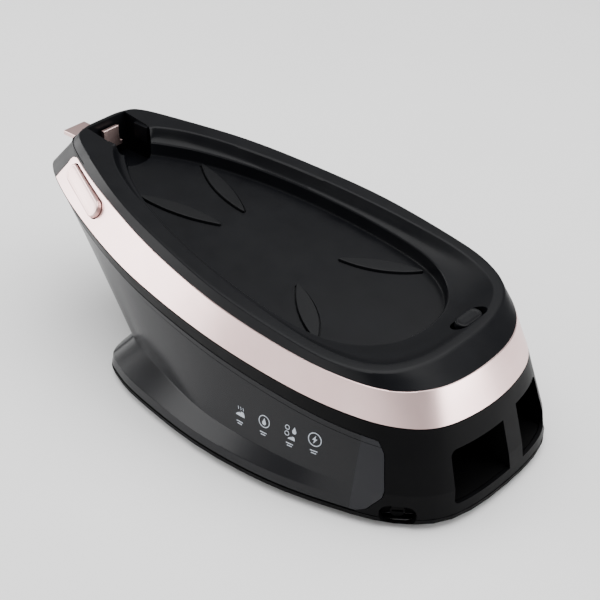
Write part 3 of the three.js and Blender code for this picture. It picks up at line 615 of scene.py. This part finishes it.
def band():
    low, high = ring_of("bandBottom", 0, GAP), ring_of("bandTop")
    outer = loft("band", [
        ring_of("bandBottom", 0.5, GAP),
        between(low, high, 0.02), between(low, high, 0.5), between(low, high, 0.98),
        ring_of("bandTop", 0.5, 0.0),
    ])
    inner = loft("band_in", [ring_of("bandBottom", WALL, -1), ring_of("bandTop", WALL, 1)])
    outer = cut(outer, inner)
    outer = cut(outer, end_line(0.1))
    outer = cut(outer, stand(prism("hole", pill(56.6, 14.6, 16), -15, 15, "z"), BUTTON))
    return tidy_mesh(outer, 32, 0.25)


trim = band()
trim.name = "rose_gold_band"
finish_piece(trim, "station", "rose_gold", MAT["gold"], "trim_band")


def pillow(name, length, width, rings):
    """A cap that follows a pill outline through (inset, height) pairs, closed on both sides."""
    stack = []
    for inset, height in rings:
        flat = pill(length - 2 * inset, width - 2 * inset, 16)
        stack.append(np.array([(x, y, height) for x, y in flat]))
    return loft(name, stack)


button = pillow("release_button_cap", 55, 12.8, BUTTON_PROFILE)
stem = prism("stem", pill(18, 6), -9, -2.5, "z")
button = add(button, stem)
stand(button, BUTTON)
tidy_mesh(button, 40)
finish_piece(button, "release", "rose_gold_button", MAT["gold_button"], "release_button")

# ------------------------------------------------------------------ round bars and coils
def post(x, y, low, high, radius, count=40):
    ring = [(x + u, y + v) for u, v in arc(0, 0, radius, 0, 360, count + 1)[:-1]]
    return prism("post", ring, low, high, "z")


def coil(radius, length, turns, wire, steps=24, sides=8):
    """A coil spring along z from z = 0, with round wire."""
    count = turns * steps
    verts, faces = [], []
    for i in range(count + 1):
        turn = math.tau * i / steps
        out = Vector((math.cos(turn), math.sin(turn), 0))
        middle = out * radius + Vector((0, 0, wire + (length - 2 * wire) * i / count))
        for k in range(sides):
            a = math.tau * k / sides
            rise = Vector((0, 0, wire * math.sin(a)))
            verts.append(tuple(middle + out * wire * math.cos(a) + rise))
    for i in range(count):
        for k in range(sides):
            a, b = i * sides + k, i * sides + (k + 1) % sides
            faces.append((a, b, b + sides, a + sides))
    faces.append(tuple(range(sides)))
    faces.append(tuple(reversed(range(count * sides, (count + 1) * sides))))
    spring = add_mesh("coil", verts, faces)
    outward(spring)
    return smooth(spring)


def smooth(obj):
    for polygon in obj.data.polygons:
        polygon.use_smooth = len(polygon.vertices) == 4
    return obj


# ------------------------------------------------------------------ carry lock and heel catch
slider = block("carry_lock_tab", (-202, -TAB_HALF, TAB_BOTTOM), (-160, TAB_HALF, TAB_TOP))
slider = add(slider, block("bar", (-163, -7, TAB_BOTTOM), (-160, 7, 130.5)))
tidy_mesh(slider, 32, 0.6, 3)
finish_piece(slider, "lock_slider", "rose_gold", MAT["gold_button"], "carry_lock_slider")

catch = pillow("heel_catch_cap", 22, 10.4, CATCH_PROFILE)
stand(catch, CATCH)
catch = add(catch, post(*CATCH_POST, 83, 92, 4))
tidy_mesh(catch, 40)
finish_piece(catch, "catch", "black_gloss", MAT["tray"], "heel_catch")

# ------------------------------------------------------------------ housing
def tank_space():
    edge = [(x + 0.6, z) for x, z in TANK_END]
    profile = [(-FAR, -1), (edge[0][0], -1)] + edge + [(146.6, FAR), (-FAR, FAR)]
    return common(prism("space", profile, -FAR, FAR, "y"), below(PLANE["strip"]))


BAY_BOTTOM = 14.5


def window(outer, inner, inner_top, top):
    """Rear opening between its outer and inner side, the two outer corners rounded."""
    side = 1 if outer > 0 else -1
    reach = abs(outer)
    foot = arc(reach - 3, BAY_BOTTOM + 3, 3, -90, 0, 6)
    head = arc(abs(outer - 2.8 * side) - 5, top - 5, 5, 0, 90, 8)
    corners = [(side * y, z) for y, z in foot + head] + [(inner_top, top), (inner, BAY_BOTTOM)]
    return prism("window", corners, 133, 215, "x")


def housing():
    strip, edge = ring_of("strip"), ring_of("bandBottom")
    rings = body_rings(0, GAP, 0)
    crease = between(rings[1], rings[2], 0.93), rings[2], between(rings[2], rings[3], 0.02)
    outer = loft("housing", [rings[0], between(rings[0], rings[1], 0.1), rings[1], *crease,
                             between(rings[2], strip, 0.5), strip, between(strip, edge, 0.9), edge])
    lower = loft("lower", body_rings(WALL, -2, 0))
    upper = loft("upper", [ring_of("strip", WALL, 2), ring_of("bandBottom", WALL, 2)])
    outer = cut(outer, lower, upper, tank_space(),
                window(outer=-45.2, inner=4.5, inner_top=2.9, top=49.5),
                window(outer=54, inner=19, inner_top=18, top=52.5),
                stand(prism("recess", pill(23, 13), -7, 23, "z"), DRAIN),
                post(FILLER_X, 0, 60, 100, DISH - 1),
                block("slot", (HOOK_X - 5, HOOK_Y - 3, 80), (HOOK_X + 6, HOOK_Y + 6, 100)))
    outer = add(outer, stand(block("stop", (4, -6.5, -22.6), (12, 2.5, -20.6)), BUTTON),
                block("bracket", (-120.5, -43.4, 91.5), (-113.5, -40.4, 98)),
                post(*CATCH_POST, 60, 72, 5))
    return tidy_mesh(outer, 28, 0.45)


body = housing()
body.name = "housing_shell"
finish_piece(body, "station", "black", MAT["housing"], "housing_deck", "rear_housing")

# A lip on the bottom pan closes the foot of the drain recess; its dark colour is painted shade.
lip = stand(block("drain_lip", (-12.5, 6.8, -9), (12.5, 7.8, -4.9)), DRAIN)
finish_piece(lip, "station", "black", MAT["painted_shade_inside"])

# ------------------------------------------------------------------ return springs
SPRING_WIRE = 0.45


def spring(name, radius, length, turns, place, joint, travel, node):
    """A return spring: a coil stood at place. joint and travel are not used."""
    piece = stand(coil(radius, length, turns, SPRING_WIRE), place)
    piece.name = name
    finish_piece(piece, "station", "steel", MAT["steel"], node)
    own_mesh(piece)


UPRIGHT = frame_at((*CATCH_POST, 72.3), (0, 0, 1), (1, 0, 0))
spring("heel_catch_coil", 3, 10.4, 5, UPRIGHT, "heel_catch_press", 2.1, "heel_catch_spring")
BEHIND_BUTTON = BUTTON @ Matrix.Translation(Vector((8, -2, -20.3)) * MM)
spring("button_coil", 2.6, 7.6, 4, BEHIND_BUTTON, "release_press", 2.6, "button_spring")

# ------------------------------------------------------------------ tank
SEAM = 4.15


def tank():
    rings = body_rings(0, GAP, GAP)
    stack = [
        ring_of("foot", 1.2, GAP),
        ring_of("foot", 0.5, GAP + 0.7),
        between(rings[0], rings[1], 0.9),
        rings[1],
        between(rings[1], rings[2], 0.06), between(rings[1], rings[2], 0.94),
        rings[2],
        *(between(rings[2], rings[3], t) for t in (0.015, 0.25, 0.5, 0.75, 0.985)),
        ring_of("strip", 1.0, -GAP),
    ]
    shell = loft("tank", stack)
    inner = loft("tank_in", body_rings(2.4, 2.7, 2.7))

    def core(grow):
        return block("core", (-55 - grow, -56.2 - grow, -10), (FAR, 56.2 + grow, 150))

    def rear(shift):
        points = [(138 - shift, -1)] + [(x - shift, z) for x, z in TANK_END]
        return prism("rear", points + [(146 - shift, FAR), (FAR, FAR), (FAR, -1)], -FAR, FAR, "y")

    inner = cut(inner, core(2.4), rear(2.4))
    shell = cut(shell, core(0), rear(0), inner)
    roof = below(PLANE["strip"], -1)
    dish = common(post(FILLER_X, 0, FILLER_LEVEL - 2.4, 120, DISH + 2.4), roof)
    roof = below(PLANE["strip"], -1)
    channel = common(block("channel", (HOOK_X - 6.5, HOOK_Y - 5, HOOK_TIP - 4), (-80, HOOK_Y + 7, 120)), roof)
    shell = add(shell, dish, channel)
    shell = cut(shell, post(FILLER_X, 0, FILLER_LEVEL, 120, DISH), post(FILLER_X, 0, 60, 120, FILLER_RADIUS),
                block("groove", (HOOK_X - 4.6, HOOK_Y - 2.8, HOOK_TIP - 2), (-82, HOOK_Y + 5, 120)),
                prism("outlet", [(y, 19 + z) for y, z in arc(0, 0, 7, 0, 360, 25)[:-1]], -70, -50, "x"))
    outside = loft("seam", [ring_of("strip", -2, -SEAM - 0.15), ring_of("strip", -2, -SEAM + 0.15)])
    kept = loft("kept", [ring_of("strip", 0.35, -SEAM - 1), ring_of("strip", 0.35, -SEAM + 1)])
    shell = cut(shell, cut(outside, kept))
    return tidy_mesh(shell, 30, 0.4)


water_tank = tank()
water_tank.name = "smoked_tank"
finish_piece(water_tank, "tank", "smoked", MAT["smoked"], "water_tank", "tank_lid")


# ------------------------------------------------------------------ symbols on the near side of the tank
def near_wall(x, z):
    """The point of the tank's near wall at x and height z."""
    def width(name):
        ring = outline(name)
        near = ring[(ring[:, 1] < 0) & (ring[:, 0] > -60)]
        near = near[np.argsort(near[:, 0])]
        return np.interp(x, near[:, 0], near[:, 1])
    top = PLANE["strip"][0] + PLANE["strip"][1] * x
    t = (z - PLANE["crease"][0]) / (top - PLANE["crease"][0])
    return Vector((x, width("crease") * (1 - t) + width("strip") * t, z))


def side_frame(x, z):
    """A frame on the near wall: x along it, y up it, z out of it."""
    along = near_wall(x + 4, z) - near_wall(x - 4, z)
    rise = near_wall(x, z + 4) - near_wall(x, z - 4)
    out = along.cross(rise).normalized()
    return frame_at(near_wall(x, z) + out * 0.05, out, along)


PRINT = 0.12  # thickness of the printed marks


def ring_mark(radius, line=0.55, x=0.0, y=0.0):
    turns = 36
    outer_ring = arc(x, y, radius, 0, 360, turns + 1)[:-1]
    inner_ring = arc(x, y, radius - line, 0, 360, turns + 1)[:-1]
    verts = [(u, v, height) for height in (0.0, PRINT) for u, v in outer_ring + inner_ring]
    faces = []
    for i in range(turns):
        j = (i + 1) % turns
        faces.append((i, turns + i, turns + j, j))
        faces.append((2 * turns + i, 2 * turns + j, 3 * turns + j, 3 * turns + i))
        faces.append((i, j, 2 * turns + j, 2 * turns + i))
        faces.append((turns + j, turns + i, 3 * turns + i, 3 * turns + j))
    return add_mesh("ring", verts, faces)


def flat_mark(points):
    return prism("mark", points, 0.0, PRINT, "z")


def bar(x0, y0, x1, y1):
    return flat_mark([(x0, y0), (x1, y0), (x1, y1), (x0, y1)])


def drop_mark(x, y, size):
    round_part = arc(x, y, size, -200, 20, 12)
    return flat_mark(round_part + [(x, y + size * 2.3)])


IRON = [(-1, -0.45), (1, -0.45), (0.92, 0.0), (0.7, 0.5), (0.1, 0.5), (0.1, 0.25), (-0.35, 0.2), (-0.8, -0.1)]


def iron_mark(x, y, size):
    return flat_mark([(x + u * size, y + v * size) for u, v in IRON])


def wave(x, y):
    left = [(x + 0.28 * math.sin(t), y + 0.42 * t) for t in np.linspace(0, 5, 9)]
    return flat_mark(left + [(u + 0.45, v) for u, v in left[::-1]])


def captions():
    return [bar(-2.6, -8.2, 2.6, -7.6), bar(-1.8, -9.8, 1.8, -9.2)]


BOLT = [(0.7, 3.2), (-2.0, -0.5), (-0.4, -0.5), (-1.1, -3.4), (1.9, 0.5), (0.3, 0.5)]


def steam_symbol():
    return [iron_mark(0, -2.2, 3.6), wave(-2.2, 0.6), wave(-0.2, 0.6), wave(1.8, 0.6)]


def water_symbol():
    return [ring_mark(4.3), drop_mark(0, -1.0, 1.5)]


def descale_symbol():
    rings = [ring_mark(1.7, 0.45, -2.6, 2.8), ring_mark(1.7, 0.45, -2.6, -1.4)]
    return rings + [drop_mark(2.6, 1.4, 1.5), iron_mark(1.0, -3.6, 2.6)]


def power_symbol():
    return [ring_mark(4.7), flat_mark([(x * 0.9, y * 0.9) for x, y in BOLT])]


# x and height of each symbol on the near wall
SYMBOLS = [
    (52, 42.5, steam_symbol), (71, 43.5, water_symbol), (91, 44.5, descale_symbol), (108, 46.5, power_symbol),
]
for number, (x, z, pieces) in enumerate(SYMBOLS, 1):
    marks = pieces() + captions()
    mesh = bmesh.new()
    for mark in marks:
        mesh.from_mesh(mark.data)
        drop(mark)
    whole = bpy.data.meshes.new("symbol")
    mesh.to_mesh(whole)
    mesh.free()
    symbol = bpy.data.objects.new(f"tank_symbol_{number}", whole)
    bpy.context.scene.collection.objects.link(symbol)
    finish_piece(stand(symbol, side_frame(x, z)), "tank", "smoked", MAT["print"])

# ------------------------------------------------------------------ other CAD nodes get their materials
# the pan, plug, liner and frame take the darker black, which is painted shade
NODE_MATERIAL = {
    "base_pan": "painted_shade_inside", "storage_liner": "painted_shade_inside", "drain_plug": "painted_shade_inside",
    "inner_frame": "painted_shade_inside", "tank_latch": "white", "dock_spigot": "white", "thermostat": "white",
    "pump_body": "white", "terminal_block": "white", "control_board": "board", "pump_coil": "copper",
    "steam_valve": "brass", "heating_element": "steel", "thermal_fuse": "steel",
    "boiler_lower": "aluminium", "boiler_upper": "aluminium", "heat_shield": "aluminium",
    "steam_hose_gland": "rubber", "mains_gland": "rubber", "tank_filler_cap": "rubber",
}
for name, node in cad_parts.items():
    if node.hide_render:
        continue
    key = NODE_MATERIAL.get(name, "silicone")
    if name.startswith("foot"):
        key = "rubber"
    elif name.startswith("base_screw"):
        key = "steel"
    node.data.materials.clear()
    node.data.materials.append(MAT[key])

# ------------------------------------------------------------------ stage
bpy.ops.mesh.primitive_plane_add(size=8, location=(0, 0, -0.0002))
floor = bpy.context.object
floor.name = "floor"
pale = Nodes("pale_floor")
pale.colour(pale.span(pale.noise(3.0, 4.0), 0.3, 0.7, 0.0, 1.0), (0.86, 0.86, 0.86), (0.9, 0.9, 0.9))
pale.set(Roughness=0.9)
floor.data.materials.append(pale.material)

world = bpy.data.worlds.new("studio")
world.use_nodes = True
sky = world.node_tree.nodes["Background"]
sky.inputs["Color"].default_value = (1, 1, 1, 1)
sky.inputs["Strength"].default_value = 0.42
bpy.context.scene.world = world


LIGHT_AIM = (0, 0, 0.08)


def area_light(name, place, size, power):
    data = bpy.data.lights.new(name, "AREA")
    data.shape = "RECTANGLE"
    data.size, data.size_y = size
    data.energy = power
    obj = bpy.data.objects.new(name, data)
    bpy.context.scene.collection.objects.link(obj)
    obj.location = place
    obj.rotation_euler = (Vector(LIGHT_AIM) - Vector(place)).to_track_quat("-Z", "Y").to_euler()


area_light("top", (0.1, 0.2, 1.8), (2.2, 2.2), 62)
area_light("left_box", (-1.35, -0.75, 0.45), (1.9, 0.9), 30)
area_light("right_box", (1.42, 0.5, 0.4), (0.9, 0.8), 16)
